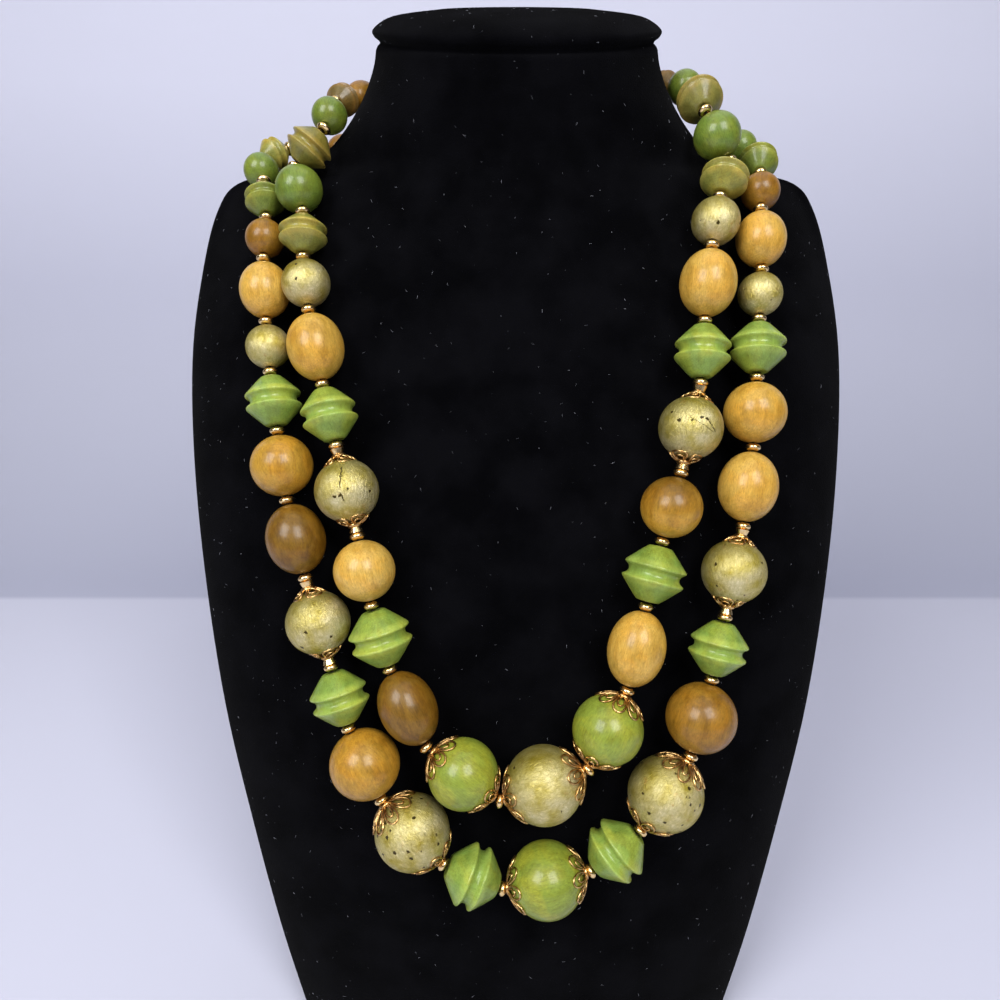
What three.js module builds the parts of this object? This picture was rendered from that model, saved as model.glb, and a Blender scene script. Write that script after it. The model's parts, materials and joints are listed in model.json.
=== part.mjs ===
// Beaded necklace on a neck bust.
// Two strands of drilled beads with gold spacers and pierced bead caps go round a plain velvet bust
// and meet in one clasp at the nape. Millimetres, +Z up, the front faces -Y, and the origin is the
// centre of the bust's flat base. The sizes below count depths from the plane where the neck starts,
// and the last lines move the whole to its origin.

import * as THREE from 'three';

// Bust: torso from the base to the shoulders, neck from there to the pad on top
const shoulderHeight = 305;
const shoulderWidth = 231;
const torsoDepth = 100;
const neckHeight = 44;
const neckWidth = 94;
const neckDepth = 84;
const neckSetback = 10;
const padTilt = 17;
const padRise = 9.5;
const bustSides = 20;

// Sections of the torso, as shares of its height, half width and depth, from the base up.
// The front of a section falls away to its sides faster with a higher peak.
const torsoSections = [
  { rise: 0, half: 0.684, front: -0.865, middle: -0.585, back: 0.25, peak: 1 },
  { rise: 0.131, half: 0.766, front: -0.845, middle: -0.535, back: 0.26, peak: 1 },
  { rise: 0.279, half: 0.842, front: -0.805, middle: -0.47, back: 0.28, peak: 1 },
  { rise: 0.426, half: 0.905, front: -0.755, middle: -0.405, back: 0.31, peak: 1 },
  { rise: 0.574, half: 0.958, front: -0.657, middle: -0.287, back: 0.36, peak: 1 },
  { rise: 0.705, half: 0.996, front: -0.527, middle: -0.147, back: 0.41, peak: 1.05 },
  { rise: 0.82, half: 1, front: -0.414, middle: -0.034, back: 0.45, peak: 1.2 },
  { rise: 0.918, half: 0.965, front: -0.316, middle: 0.064, back: 0.49, peak: 1.5 },
  { rise: 0.974, half: 0.92, front: -0.26, middle: 0.11, back: 0.51, peak: 1.9 },
  { rise: 1, half: 0.857, front: -0.235, middle: 0.12, back: 0.52, peak: 2.1 },
];

// Sections of the neck, as shares of its height, half width, depth and the tilt of the pad
const neckSections = [
  { rise: 0.09, half: 1.745, front: -0.393, middle: 0, back: 0.5, peak: 1.9, tilt: 0 },
  { rise: 0.19, half: 1.436, front: -0.393, middle: -0.042, back: 0.488, peak: 1.4, tilt: 0 },
  { rise: 0.34, half: 1.255, front: -0.405, middle: -0.071, back: 0.476, peak: 1.1, tilt: 0.1 },
  { rise: 0.57, half: 1.106, front: -0.423, middle: -0.06, back: 0.464, peak: 1, tilt: 0.4 },
  { rise: 0.82, half: 1.021, front: -0.44, middle: -0.024, back: 0.476, peak: 1, tilt: 0.8 },
  { rise: 1, half: 1, front: -0.452, middle: 0, back: 0.5, peak: 1, tilt: 1 },
];

// Rings of the domed pad above the neck, as shares of its rise and of the neck's outline
const padSections = [
  { rise: 0.42, size: 1 },
  { rise: 0.8, size: 0.88 },
  { rise: 1, size: 0.55 },
];

// Thread, spacers and the clearances between what is strung
const threadRadius = 0.45;
const holeRadius = 1.1;
const spacerLength = 2.6;
const spacerRadius = 2.35;
const spacerFlat = 0.4;
const strungGap = 0.2;
const bustGap = 1;
const roundSides = 10;

// Bead caps: pierced metal flowers bent over the ends of a round bead
const capThickness = 0.5;
const capGap = 0.55;
const capWire = 0.7;
const hubSides = 8;
// A lobe's tip is twice the spread wide, in degrees round the hub
const petalCap = { lobes: 8, hub: 1.5, holeStart: 2.9, valley: 4, tip: 7.2, spread: 12 };
const loopCap = { lobes: 4, hub: 1.5, holeStart: 2.4, valley: 2.3, tip: 5.5, spread: 24 };
const coneLength = 1.9;
const coneWide = 1.8;
const coneNarrow = 1.2;

// Bead outlines, as shares of a bead's width or length, and their steps from end to end
const biconeShape = { lip: 0.14, grooveDepth: 0.08, shoulderOut: 0.66, shoulderUp: 0.5 };
const barrelFlat = 0.55;
const roundSteps = 5;
const fusedSteps = 4;

// Clasp at the nape
const claspLength = 16;
const claspDepth = 6;
const claspMargin = 8;
const claspCorner = 2.5;

// Beads of each strand from its centre outward, the same on both sides but for their colour.
// The mains are separate pieces, and the uppers and the nape beads are fused to their string.
const innerStrand = {
  name: 'inner',
  centreTurn: 4.5,
  centre: { form: 'round', width: 23.6, cap: 'petal', colour: 'pearl' },
  mains: [
    { form: 'round', width: 21.4, cap: 'petal', left: 'green', right: 'green' },
    { form: 'oval', width: 17.4, length: 23, left: 'brown', right: 'honey' },
    { form: 'bicone', width: 18.7, length: 17.3, left: 'green', right: 'green' },
    { form: 'round', width: 18.6, left: 'honey', right: 'brown' },
    { form: 'round', width: 19.4, cap: 'loop', left: 'pearl', right: 'pearl' },
    { form: 'bicone', width: 16.9, length: 16.6, left: 'green', right: 'green' },
    { form: 'oval', width: 17.4, length: 21, left: 'honey', right: 'honey' },
    { form: 'round', width: 15, left: 'pearl', right: 'pearl' },
  ],
  uppers: [
    { form: 'bicone', width: 15, length: 12.3 },
    { form: 'round', width: 15 },
    { form: 'bicone', width: 14.6, length: 12.3 },
    { form: 'round', width: 11.6 },
    { form: 'bicone', width: 10.6, length: 9.6 },
  ],
};
const outerStrand = {
  name: 'outer',
  centreTurn: 5.5,
  centre: { form: 'round', width: 23.2, cap: 'petal', colour: 'green' },
  mains: [
    { form: 'bicone', width: 19.1, length: 17.2, left: 'green', right: 'green' },
    { form: 'round', width: 23.2, cap: 'petal', left: 'pearl', right: 'pearl' },
    { form: 'round', width: 21.5, left: 'brown', right: 'brown' },
    { form: 'bicone', width: 17.5, length: 16.6, left: 'green', right: 'green' },
    { form: 'round', width: 19.6, cap: 'loop', left: 'pearl', right: 'pearl' },
    { form: 'oval', width: 18, length: 21.6, left: 'brown', right: 'honey' },
    { form: 'round', width: 19, left: 'honey', right: 'honey' },
    { form: 'bicone', width: 17, length: 16, left: 'green', right: 'green' },
  ],
  uppers: [
    { form: 'round', width: 13.8 },
    { form: 'oval', width: 15.7, length: 18 },
    { form: 'round', width: 12.4 },
    { form: 'bicone', width: 12.8, length: 11.8 },
    { form: 'round', width: 11.6 },
    { form: 'bicone', width: 11, length: 9.8 },
  ],
};
const napeBead = { form: 'barrel', width: 10, length: 13 };

// Where the strands lie: turn round the bust in degrees from its front, and height as a share of
// the shoulders' height, with what is over 1 as a share of the neck's
const strandRoutes = {
  inner: [
    [-180, 1.6364], [-145, 1.6364], [-115, 1.5909], [-94, 1.5227], [-74, 1.3636], [-55, 1.1364],
    [-39.5, 0.9803], [-36.3, 0.9246], [-31.6, 0.8164], [-26, 0.6852], [-21.8, 0.5508], [-18, 0.482],
    [-11.5, 0.423], [-3.3, 0.3984], [4.5, 0.4082], [11.4, 0.4295], [15.7, 0.4557], [17, 0.4984],
    [18.3, 0.5475], [20.8, 0.6098], [23.2, 0.6754], [26.9, 0.7607], [29.6, 0.8721], [33, 0.9475],
    [40.5, 0.9967], [62, 1.2727], [84, 1.5227], [106, 1.6591], [140, 1.6591], [180, 1.6364],
  ],
  outer: [
    [-180, 1.2955], [-145, 1.25], [-115, 1.1705], [-88, 1.1023], [-66, 1.0227], [-51.5, 0.9836],
    [-46, 0.941], [-43, 0.8656], [-39.3, 0.7607], [-36.3, 0.6426], [-32, 0.5541], [-29.4, 0.482],
    [-25.8, 0.423], [-18.8, 0.3557], [-7.5, 0.3066], [5.5, 0.2951], [16.3, 0.3328], [21.4, 0.3607],
    [26.4, 0.3934], [30.4, 0.4656], [34, 0.5803], [37, 0.6852], [38.8, 0.8197], [42.8, 0.9213],
    [47, 0.982], [62, 1.0341], [86, 1.125], [115, 1.1818], [145, 1.25], [180, 1.2955],
  ],
};

const colours = {
  pearl: { color: 0xb9bd8c, roughness: 0.35, metalness: 0.4 },
  green: { color: 0x7d9a45, roughness: 0.45, metalness: 0 },
  brown: { color: 0x8a6428, roughness: 0.3, metalness: 0 },
  honey: { color: 0xc49a45, roughness: 0.3, metalness: 0 },
  gold: { color: 0xd9b46a, roughness: 0.25, metalness: 1 },
  antique: { color: 0x9a7a48, roughness: 0.4, metalness: 1 },
  velvet: { color: 0x0b0a0e, roughness: 1, metalness: 0 },
};

const degree = Math.PI / 180;
const necklace = new THREE.Group();

function addPiece(name, geometry, colour) {
  const piece = new THREE.Mesh(geometry, new THREE.MeshStandardMaterial(colours[colour]));
  piece.name = name;
  necklace.add(piece);
  return piece;
}

// Closed skin over a stack of rings, each with the same number of points, with flat ends
function skinOver(rings) {
  const sides = rings[0].length;
  const centres = [rings[0], rings[rings.length - 1]].map((ring) => {
    const sum = ring.reduce((total, point) => total.add(point), new THREE.Vector3());
    return sum.divideScalar(sides);
  });
  const positions = [...rings.flat(), ...centres].flatMap((point) => point.toArray());
  const startCentre = rings.length * sides;
  const last = startCentre - sides;
  const faces = [];
  for (let side = 0; side < sides; side += 1) {
    const next = (side + 1) % sides;
    faces.push(startCentre, next, side, startCentre + 1, last + side, last + next);
    for (let row = 0; row < rings.length - 1; row += 1) {
      const low = row * sides;
      const high = low + sides;
      faces.push(low + side, low + next, high + next, low + side, high + next, high + side);
    }
  }
  const geometry = new THREE.BufferGeometry();
  geometry.setAttribute('position', new THREE.Float32BufferAttribute(positions, 3));
  geometry.setIndex(faces);
  return geometry;
}

// Bust

function bustSections() {
  const torso = torsoSections.map((row) => ({
    height: row.rise * shoulderHeight,
    half: (row.half * shoulderWidth) / 2,
    front: row.front * torsoDepth,
    middle: row.middle * torsoDepth,
    back: row.back * torsoDepth,
    peak: row.peak,
    slope: 0,
  }));
  const neck = neckSections.map((row) => ({
    height: shoulderHeight + row.rise * neckHeight,
    half: (row.half * neckWidth) / 2,
    front: neckSetback + row.front * neckDepth,
    middle: neckSetback + row.middle * neckDepth,
    back: neckSetback + row.back * neckDepth,
    peak: row.peak,
    slope: Math.tan(row.tilt * padTilt * degree),
  }));
  return [...torso, ...neck];
}

const sections = bustSections();

function sectionAt(height) {
  const above = sections.findIndex((section) => section.height > height);
  const index = above < 0 ? sections.length - 1 : Math.max(above, 1);
  const low = sections[index - 1];
  const high = sections[index];
  const share = THREE.MathUtils.clamp((height - low.height) / (high.height - low.height), 0, 1);
  const blend = (key) => THREE.MathUtils.lerp(low[key], high[key], share);
  return {
    height: blend('height'),
    half: blend('half'),
    front: blend('front'),
    middle: blend('middle'),
    back: blend('back'),
    peak: blend('peak'),
    slope: blend('slope'),
  };
}

// Point of a section at a turn in degrees from the front
function sectionPoint(section, turn, size = 1, rise = 0) {
  const forward = Math.cos(turn * degree);
  const along = size * (forward > 0
    ? (section.front - section.middle) * forward ** section.peak
    : (section.middle - section.back) * forward);
  return new THREE.Vector3(
    section.half * Math.sin(turn * degree) * size,
    section.middle + along,
    section.height + rise + along * section.slope,
  );
}

function bustSkin() {
  const turns = Array.from({ length: bustSides }, (_, side) => (side * 360) / bustSides);
  const ring = (section, size, rise) => turns.map((turn) => sectionPoint(section, turn, size, rise));
  const top = sections[sections.length - 1];
  const rings = sections.map((section) => ring(section));
  for (const row of padSections) {
    rings.push(ring(top, row.size, row.rise * padRise));
  }
  return skinOver(rings);
}

// Patch of velvet that a resting bead is tested against: how far it reaches to each side in
// degrees and in height, and its steps each way
const patchTurn = 24;
const patchHeight = 20;
const patchSteps = 5;

// Place at a distance from the velvet, and the way out of it
function restingPlace(turn, height, distance) {
  const turnStep = patchTurn / patchSteps;
  const heightStep = patchHeight / patchSteps;
  const surface = (column, row) => {
    const section = sectionAt(height + row * heightStep);
    return sectionPoint(section, turn + column * turnStep);
  };
  const across = surface(1, 0).sub(surface(-1, 0));
  const upward = surface(0, 1).sub(surface(0, -1));
  const outward = across.cross(upward).normalize();
  const point = surface(0, 0).addScaledVector(outward, distance);
  const patch = [];
  for (let column = -patchSteps; column <= patchSteps; column += 1) {
    for (let row = -patchSteps; row <= patchSteps; row += 1) patch.push(surface(column, row));
  }
  for (let pass = 0; pass < patchSteps; pass += 1) {
    const distances = patch.map((spot) => spot.distanceTo(point));
    const nearest = Math.min(...distances);
    if (nearest >= distance) break;
    const away = point.clone().sub(patch[distances.indexOf(nearest)]).normalize();
    point.addScaledVector(away, distance - nearest);
  }
  return { point, outward };
}

// Beads

// Half angle of a round bead's outline from its equator to its drilled hole
function outlineAngle(bead, endRadius) {
  return Math.acos((2 * endRadius) / bead.width);
}

function beadLength(bead) {
  return bead.length ?? bead.width * Math.sin(outlineAngle(bead, holeRadius));
}

// Outline of a bead along its axis, as rows of radius and distance from the bead's middle
function roundOutline(bead, endRadius, steps) {
  const limit = outlineAngle(bead, endRadius);
  return Array.from({ length: steps + 1 }, (_, step) => {
    const angle = THREE.MathUtils.lerp(-limit, limit, step / steps);
    const along = ((beadLength(bead) / 2) * Math.sin(angle)) / Math.sin(limit);
    return [(bead.width / 2) * Math.cos(angle), along];
  });
}

function biconeOutline(bead, endRadius, detailed) {
  const radius = bead.width / 2;
  const half = bead.length / 2;
  const lip = biconeShape.lip * bead.length;
  const groove = radius - biconeShape.grooveDepth * bead.width;
  const shoulderHigh = THREE.MathUtils.lerp(half, lip, biconeShape.shoulderUp);
  const shoulder = [radius * biconeShape.shoulderOut, shoulderHigh];
  const upper = detailed
    ? [[radius, lip], shoulder, [endRadius, half]]
    : [[radius, lip], [endRadius, half]];
  const lower = upper.map(([out, along]) => [out, -along]).reverse();
  return [...lower, [groove, 0], ...upper];
}

function barrelOutline(bead, endRadius) {
  const half = bead.length / 2;
  const flat = half * barrelFlat;
  return [[endRadius, -half], [bead.width / 2, -flat], [bead.width / 2, flat], [endRadius, half]];
}

// Drilled bead with its axis along Z
function drilledBead(bead) {
  const outline = bead.form === 'bicone'
    ? biconeOutline(bead, holeRadius, true)
    : roundOutline(bead, holeRadius, roundSteps);
  const closed = [...outline, outline[0]].map(([radius, along]) => new THREE.Vector2(radius, along));
  return new THREE.LatheGeometry(closed, roundSides).rotateX(Math.PI / 2);
}

// Outline of a bead that is fused to its string
function fusedOutline(bead) {
  if (bead.form === 'bicone') return biconeOutline(bead, holeRadius, false);
  if (bead.form === 'barrel') return barrelOutline(bead, holeRadius);
  return roundOutline(bead, holeRadius, fusedSteps);
}

// Flat flower with a hole in each lobe, bent over a ball round the origin, its hub up the Z axis
function beadCap(cap, bead) {
  const polar = (radius, angle) => new THREE.Vector2(radius * Math.cos(angle), radius * Math.sin(angle));
  const step = (2 * Math.PI) / cap.lobes;
  const spread = cap.spread * degree;
  const holeTip = cap.tip - capWire;
  const holeSpread = spread - capWire / cap.tip;
  const outline = [];
  const holes = [];
  for (let lobe = 0; lobe < cap.lobes; lobe += 1) {
    const middle = lobe * step;
    outline.push(polar(cap.valley, middle - step / 2));
    outline.push(polar(cap.tip, middle - spread), polar(cap.tip, middle + spread));
    holes.push([
      polar(cap.holeStart, middle),
      polar(holeTip, middle - holeSpread),
      polar(holeTip, middle + holeSpread),
    ]);
  }
  const hub = Array.from({ length: hubSides }, (_, side) => (
    polar(cap.hub, (side * 2 * Math.PI) / hubSides)
  ));
  const flower = new THREE.Shape(outline);
  flower.holes = [...holes, hub].map((points) => new THREE.Path(points));
  const geometry = new THREE.ExtrudeGeometry(flower, { depth: capThickness, bevelEnabled: false });
  const ball = bead.width / 2 + capGap;
  const places = geometry.getAttribute('position');
  for (let index = 0; index < places.count; index += 1) {
    const flat = new THREE.Vector2(places.getX(index), places.getY(index));
    const polarAngle = flat.length() / ball;
    const reach = ball + places.getZ(index);
    const turn = flat.angle();
    places.setXYZ(
      index,
      reach * Math.sin(polarAngle) * Math.cos(turn),
      reach * Math.sin(polarAngle) * Math.sin(turn),
      reach * Math.cos(polarAngle),
    );
  }
  return geometry;
}

// Strands

// Length that a cap takes up between a bead's end and its spacer
function capRise(bead) {
  if (!bead.cap) return 0;
  const seat = bead.width / 2 + capGap + capThickness - beadLength(bead) / 2;
  return bead.cap === 'loop' ? seat + coneLength : seat;
}

// Distance between the middles of the two spacers on each side of a bead
function pitchOf(bead) {
  return beadLength(bead) + spacerLength + 2 * (strungGap + capRise(bead));
}

// Height of a route's row
function heightOf(rise) {
  return Math.min(rise, 1) * shoulderHeight + Math.max(rise - 1, 0) * neckHeight;
}

// Radius of the ball that a bead fills with its caps
function reachOf(bead) {
  return bead.cap ? bead.width / 2 + capGap + capThickness : beadLength(bead) / 2;
}

// Shares of a route that the walk along it goes by, and at most spans with its first bead, and
// how often it halves a share to meet a distance
const shareStep = 0.005;
const widestShare = 0.2;
const halvings = 40;

// Walks along a route in straight steps from its centre bead out to both ends of the clasp
function layStrand(strand, claspEnds) {
  const rows = strandRoutes[strand.name].map(([turn, rise]) => new THREE.Vector3(turn, heightOf(rise), 0));
  const route = new THREE.CatmullRomCurve3(rows, false, 'centripetal');
  const place = (share, radius) => {
    const spot = route.getPoint(THREE.MathUtils.clamp(share, 0, 1));
    return restingPlace(spot.x, spot.y, radius + bustGap);
  };
  const bisect = (isShort, near, far) => {
    let short = near;
    let long = far;
    for (let halving = 0; halving < halvings; halving += 1) {
      const middle = (short + long) / 2;
      if (isShort(middle)) short = middle;
      else long = middle;
    }
    return (short + long) / 2;
  };
  const centreRow = rows.findIndex((row) => row.x === strand.centreTurn);
  const centreShare = centreRow / (rows.length - 1);
  const firstRadius = Math.max(strand.centre.width, strand.mains[0].width) / 2;
  const span = (half) => place(centreShare + half, firstRadius).point
    .distanceTo(place(centreShare - half, firstRadius).point);
  const firstHalf = bisect((half) => span(half) < pitchOf(strand.centre), 0, widestShare);

  return ['left', 'right'].map((side, sideIndex) => {
    const way = side === 'left' ? -1 : 1;
    const listed = [...strand.mains, ...strand.uppers];
    const beads = [];
    let share = centreShare + way * firstHalf;
    const stops = [place(share, firstRadius)];
    const otherStop = place(centreShare - way * firstHalf, firstRadius).point;
    let lastMiddle = stops[0].point.clone().lerp(otherStop, 0.5);
    let lastBead = strand.centre;
    const claspEnd = claspEnds[sideIndex];
    for (let index = 0; ; index += 1) {
      const bead = listed[index] ?? napeBead;
      const from = stops[stops.length - 1].point;
      const pitch = pitchOf(bead);
      if (index >= listed.length && from.distanceTo(claspEnd) < pitch + spacerLength) break;
      const nextBead = listed[index + 1] ?? napeBead;
      const radius = Math.max(bead.width, nextBead.width) / 2;
      const clear = reachOf(lastBead) + reachOf(bead) + strungGap;
      const isShort = (at) => {
        const { point } = place(at, radius);
        const toLast = point.clone().lerp(from, 0.5).distanceTo(lastMiddle);
        return point.distanceTo(from) < pitch || toLast < clear;
      };
      let far = share;
      while (isShort(far)) far += way * shareStep;
      share = bisect(isShort, far - way * shareStep, far);
      stops.push(place(share, radius));
      beads.push(bead);
      lastMiddle = stops[stops.length - 1].point.clone().lerp(from, 0.5);
      lastBead = bead;
    }
    return { side, way, beads, stops, claspEnd };
  });
}

// Ring of points round an axis, its first point on the outward side
function ringAround(centre, axis, outward, radius) {
  const across = new THREE.Vector3().crossVectors(axis, outward).normalize();
  const out = new THREE.Vector3().crossVectors(across, axis);
  return Array.from({ length: roundSides }, (_, side) => {
    const angle = (side * 2 * Math.PI) / roundSides;
    return centre.clone()
      .addScaledVector(out, radius * Math.cos(angle))
      .addScaledVector(across, radius * Math.sin(angle));
  });
}

// Thread with its spacers, cones and small fused beads, from the centre bead's hole to the clasp
function stringSkin(strand, half, otherFirst) {
  const { stops, beads, claspEnd } = half;
  const rings = [];
  const addRing = (centre, axis, outward, radius, along) => {
    rings.push(ringAround(centre.clone().addScaledVector(axis, along), axis, outward, radius));
  };
  const direction = (from, to) => new THREE.Vector3().subVectors(to, from).normalize();
  const points = stops.map((stop) => stop.point);
  const ways = [direction(otherFirst, points[0])];
  for (let index = 1; index < points.length; index += 1) {
    ways.push(direction(points[index - 1], points[index]));
  }
  ways.push(direction(points[points.length - 1], claspEnd));
  const middle = new THREE.Vector3().addVectors(otherFirst, points[0]).multiplyScalar(0.5);
  addRing(middle, ways[0], stops[0].outward, threadRadius, strungGap / 2);

  for (let index = 0; index < stops.length; index += 1) {
    const { outward } = stops[index];
    const axis = ways[index].clone().add(ways[index + 1]).normalize();
    const before = index === 0 ? strand.centre : beads[index - 1];
    const after = beads[index];
    const end = spacerLength / 2;
    const fusedBefore = index > strand.mains.length;
    const fusedAfter = index >= strand.mains.length && after;
    const add = (radius, along) => addRing(points[index], axis, outward, radius, along);
    if (before.cap === 'loop') {
      add(threadRadius, -end - coneLength);
      add(coneNarrow, -end - coneLength);
      add(coneWide, -end);
    } else if (!fusedBefore) {
      add(threadRadius, -end);
    }
    if (fusedBefore) {
      add(spacerRadius, 0);
    } else {
      add(spacerRadius, -end * spacerFlat);
      add(spacerRadius, end * spacerFlat);
    }
    if (after?.cap === 'loop') {
      add(coneWide, end);
      add(coneNarrow, end + coneLength);
      add(threadRadius, end + coneLength);
    } else if (!fusedAfter) {
      add(threadRadius, end);
    }
    if (fusedAfter) {
      const centre = new THREE.Vector3().addVectors(points[index], points[index + 1]).multiplyScalar(0.5);
      for (const [radius, along] of fusedOutline(after)) {
        addRing(centre, ways[index + 1], outward, radius, along);
      }
    }
  }
  const last = ways[ways.length - 1];
  addRing(claspEnd, last, stops[stops.length - 1].outward, threadRadius, 0);
  return skinOver(rings);
}

// Turns a piece that was made along Z to lie between two places
function threadOn(piece, from, to, outward) {
  const axis = new THREE.Vector3().subVectors(to, from).normalize();
  const across = new THREE.Vector3().crossVectors(axis, outward).normalize();
  const out = new THREE.Vector3().crossVectors(across, axis);
  piece.quaternion.setFromRotationMatrix(new THREE.Matrix4().makeBasis(out, across, axis));
  piece.position.addVectors(from, to).multiplyScalar(0.5);
  return piece;
}

function addBead(name, bead, colour, from, to, outward) {
  threadOn(addPiece(`${name}_bead`, drilledBead(bead), colour), from, to, outward);
  if (!bead.cap) return;
  const cap = bead.cap === 'petal' ? petalCap : loopCap;
  threadOn(addPiece(`${name}_cap_near`, beadCap(cap, bead), 'antique'), to, from, outward);
  threadOn(addPiece(`${name}_cap_far`, beadCap(cap, bead), 'antique'), from, to, outward);
}

function addStrand(strand, claspEnds) {
  const [left, right] = layStrand(strand, claspEnds);
  const { centre, name: strandName } = strand;
  const [firstLeft, firstRight] = [left.stops[0], right.stops[0]];
  const ends = [firstLeft.point, firstRight.point, firstRight.outward];
  addBead(`${strandName}_centre`, centre, centre.colour, ...ends);
  for (const half of [left, right]) {
    const otherFirst = half === left ? firstRight.point : firstLeft.point;
    addPiece(`${strandName}_${half.side}_string`, stringSkin(strand, half, otherFirst), 'gold');
    strand.mains.forEach((bead, index) => {
      const beadName = `${strandName}_${half.side}_${index + 1}`;
      const [from, to] = [half.stops[index], half.stops[index + 1]];
      addBead(beadName, bead, bead[half.side], from.point, to.point, from.outward);
    });
  }
}

// Clasp, one plain rounded plate against the nape, with a string to each end at two heights

function claspPlan() {
  const nape = (strand) => restingPlace(180, heightOf(strandRoutes[strand.name].at(-1)[1]), 0).point.z;
  const heights = { inner: nape(innerStrand), outer: nape(outerStrand) };
  const neckBacks = sections
    .filter((section) => section.height > shoulderHeight)
    .map((section) => sectionPoint(section, 180).y);
  return {
    heights,
    middle: (heights.inner + heights.outer) / 2,
    y: Math.max(...neckBacks) + bustGap + claspDepth / 2,
  };
}

function addClasp(plan) {
  const height = Math.abs(plan.heights.inner - plan.heights.outer) + claspMargin;
  const x = claspLength / 2 - claspCorner;
  const y = height / 2 - claspCorner;
  const outline = new THREE.Shape();
  outline.absarc(x, y, claspCorner, 0, Math.PI / 2);
  outline.absarc(-x, y, claspCorner, Math.PI / 2, Math.PI);
  outline.absarc(-x, -y, claspCorner, Math.PI, (3 * Math.PI) / 2);
  outline.absarc(x, -y, claspCorner, (3 * Math.PI) / 2, 2 * Math.PI);
  const extrusion = { depth: claspDepth, bevelEnabled: false, curveSegments: 2 };
  const plate = new THREE.ExtrudeGeometry(outline, extrusion);
  plate.translate(0, 0, -claspDepth / 2);
  const clasp = addPiece('clasp', plate, 'gold');
  clasp.rotation.x = Math.PI / 2;
  clasp.position.set(0, plan.y, plan.middle);
}

addPiece('display_bust', bustSkin(), 'velvet');
const plan = claspPlan();
addClasp(plan);
for (const strand of [innerStrand, outerStrand]) {
  const ends = [-1, 1].map((way) => (
    new THREE.Vector3(way * (claspLength / 2 + strungGap), plan.y, plan.heights[strand.name])
  ));
  addStrand(strand, ends);
}
const base = sections[0];
necklace.position.y = -(base.front + base.back) / 2;

export default necklace;
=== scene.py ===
# %% [markdown]
# # A beaded necklace on a velvet bust
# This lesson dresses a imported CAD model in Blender. The model gives every piece its place and size:
# a neck bust, two strings of small beads, and the main beads with their metal caps. Each cell makes
# one kind of piece or finish. Where a piece comes as a rough solid, a finer one takes its place.

# %% Load the frame
import json
import math

import bpy
import numpy as np
from mathutils import Matrix, Vector
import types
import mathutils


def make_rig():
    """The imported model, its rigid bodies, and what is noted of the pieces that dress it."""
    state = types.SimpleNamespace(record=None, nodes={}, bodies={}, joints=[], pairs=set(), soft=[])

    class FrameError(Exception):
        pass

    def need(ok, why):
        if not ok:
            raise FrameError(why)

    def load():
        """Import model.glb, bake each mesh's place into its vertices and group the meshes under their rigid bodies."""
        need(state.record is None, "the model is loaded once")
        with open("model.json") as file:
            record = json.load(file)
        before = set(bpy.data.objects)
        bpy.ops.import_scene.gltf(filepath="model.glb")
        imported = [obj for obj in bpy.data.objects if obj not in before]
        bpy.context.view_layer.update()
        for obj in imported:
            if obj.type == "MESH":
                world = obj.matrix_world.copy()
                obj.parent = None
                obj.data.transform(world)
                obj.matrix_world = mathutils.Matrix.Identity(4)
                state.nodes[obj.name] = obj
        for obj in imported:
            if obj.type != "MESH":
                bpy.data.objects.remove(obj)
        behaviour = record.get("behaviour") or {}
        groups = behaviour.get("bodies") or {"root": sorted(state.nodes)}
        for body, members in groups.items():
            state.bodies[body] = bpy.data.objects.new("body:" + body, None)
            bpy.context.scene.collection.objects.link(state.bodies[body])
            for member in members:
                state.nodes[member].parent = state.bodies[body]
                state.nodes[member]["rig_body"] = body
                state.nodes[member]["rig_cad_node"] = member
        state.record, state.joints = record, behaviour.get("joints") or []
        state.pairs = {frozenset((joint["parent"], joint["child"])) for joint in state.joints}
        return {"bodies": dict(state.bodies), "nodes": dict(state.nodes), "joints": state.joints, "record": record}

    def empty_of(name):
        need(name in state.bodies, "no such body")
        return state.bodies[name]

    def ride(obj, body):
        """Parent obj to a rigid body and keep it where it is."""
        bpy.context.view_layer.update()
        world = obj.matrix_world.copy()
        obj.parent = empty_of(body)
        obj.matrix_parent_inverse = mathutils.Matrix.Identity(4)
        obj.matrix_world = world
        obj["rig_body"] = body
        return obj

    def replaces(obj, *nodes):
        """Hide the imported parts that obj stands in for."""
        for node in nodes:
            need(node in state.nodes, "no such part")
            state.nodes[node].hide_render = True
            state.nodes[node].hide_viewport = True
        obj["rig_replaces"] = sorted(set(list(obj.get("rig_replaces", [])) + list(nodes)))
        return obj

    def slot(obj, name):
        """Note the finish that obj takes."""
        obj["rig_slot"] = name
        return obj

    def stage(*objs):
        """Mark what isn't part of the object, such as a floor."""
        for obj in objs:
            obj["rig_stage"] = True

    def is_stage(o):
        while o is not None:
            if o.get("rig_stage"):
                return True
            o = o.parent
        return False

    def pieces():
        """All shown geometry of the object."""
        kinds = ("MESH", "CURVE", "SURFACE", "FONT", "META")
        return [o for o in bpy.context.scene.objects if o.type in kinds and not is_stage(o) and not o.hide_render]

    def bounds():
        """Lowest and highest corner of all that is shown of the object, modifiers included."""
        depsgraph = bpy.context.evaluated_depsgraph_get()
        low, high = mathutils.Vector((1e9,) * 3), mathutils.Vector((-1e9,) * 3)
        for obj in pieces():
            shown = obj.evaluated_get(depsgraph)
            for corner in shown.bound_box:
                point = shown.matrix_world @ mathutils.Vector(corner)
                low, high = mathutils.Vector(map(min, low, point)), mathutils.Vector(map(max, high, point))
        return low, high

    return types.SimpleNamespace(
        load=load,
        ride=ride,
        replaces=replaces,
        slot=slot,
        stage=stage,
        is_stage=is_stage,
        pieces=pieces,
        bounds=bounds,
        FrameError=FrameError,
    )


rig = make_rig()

for leftover in list(bpy.data.objects):
    bpy.data.objects.remove(leftover)
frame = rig.load()
cad_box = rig.bounds()
nodes = frame["nodes"]
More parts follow.
